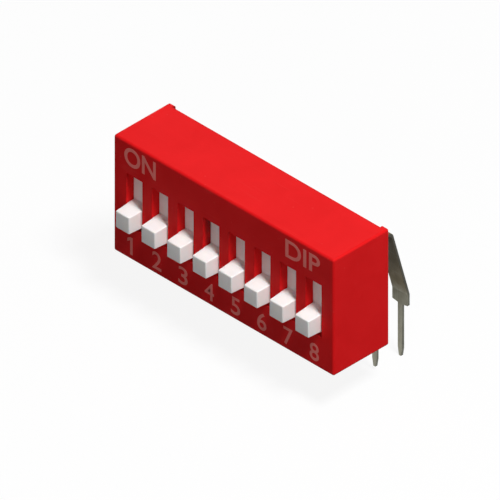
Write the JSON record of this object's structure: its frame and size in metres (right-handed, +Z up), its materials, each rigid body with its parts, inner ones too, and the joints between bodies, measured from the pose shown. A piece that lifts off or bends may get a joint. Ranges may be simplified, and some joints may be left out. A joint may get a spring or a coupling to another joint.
{
  "type": "right-angle slide dip switch",
  "caption": "Right-angle DIP switch: a row of small slide switches facing the side of a moulded body, with two rows of bent solder tails at the back.",
  "frame": {"origin": "middle of the underside of the body, on the face of the circuit board", "axes": "+X along the row from switch 1 to switch 8, -Y out of the front face that the sliders stand in, +Z up from the board, which is also from OFF to ON"},
  "size_m": [0.0218, 0.0099, 0.0134],
  "materials": {
    "cover_red": "smooth moulded, faintly satin",
    "base_black": "fine moulded grain",
    "slider_white": "smooth moulded, soft gloss",
    "terminal_tin": "dull tin plating over copper alloy",
    "spring_gilt": "thin gold plating"
  },
  "bodies": {
    "housing": {"cover": "cover_red", "base": "base_black", "upper_terminal_1": "terminal_tin", "upper_terminal_2": "terminal_tin", "upper_terminal_3": "terminal_tin", "upper_terminal_4": "terminal_tin", "upper_terminal_5": "terminal_tin", "upper_terminal_6": "terminal_tin", "upper_terminal_7": "terminal_tin", "upper_terminal_8": "terminal_tin", "lower_terminal_1": "terminal_tin", "lower_terminal_2": "terminal_tin", "lower_terminal_3": "terminal_tin", "lower_terminal_4": "terminal_tin", "lower_terminal_5": "terminal_tin", "lower_terminal_6": "terminal_tin", "lower_terminal_7": "terminal_tin", "lower_terminal_8": "terminal_tin"},
    "switch_1": {"slider_1": "slider_white", "spring_contact_1": "spring_gilt"},
    "switch_2": {"slider_2": "slider_white", "spring_contact_2": "spring_gilt"},
    "switch_3": {"slider_3": "slider_white", "spring_contact_3": "spring_gilt"},
    "switch_4": {"slider_4": "slider_white", "spring_contact_4": "spring_gilt"},
    "switch_5": {"slider_5": "slider_white", "spring_contact_5": "spring_gilt"},
    "switch_6": {"slider_6": "slider_white", "spring_contact_6": "spring_gilt"},
    "switch_7": {"slider_7": "slider_white", "spring_contact_7": "spring_gilt"},
    "switch_8": {"slider_8": "slider_white", "spring_contact_8": "spring_gilt"}
  },
  "joints": [
    {"name": "switch_1_slide", "type": "slide", "parent": "housing", "child": "switch_1", "axis": [0, 0, 1], "range_m": [0, 0.0021]},
    {"name": "switch_2_slide", "type": "slide", "parent": "housing", "child": "switch_2", "axis": [0, 0, 1], "range_m": [0, 0.0021]},
    {"name": "switch_3_slide", "type": "slide", "parent": "housing", "child": "switch_3", "axis": [0, 0, 1], "range_m": [0, 0.0021]},
    {"name": "switch_4_slide", "type": "slide", "parent": "housing", "child": "switch_4", "axis": [0, 0, 1], "range_m": [0, 0.0021]},
    {"name": "switch_5_slide", "type": "slide", "parent": "housing", "child": "switch_5", "axis": [0, 0, 1], "range_m": [0, 0.0021]},
    {"name": "switch_6_slide", "type": "slide", "parent": "housing", "child": "switch_6", "axis": [0, 0, 1], "range_m": [0, 0.0021]},
    {"name": "switch_7_slide", "type": "slide", "parent": "housing", "child": "switch_7", "axis": [0, 0, 1], "range_m": [0, 0.0021]},
    {"name": "switch_8_slide", "type": "slide", "parent": "housing", "child": "switch_8", "axis": [0, 0, 1], "range_m": [0, 0.0021]}
  ]
}
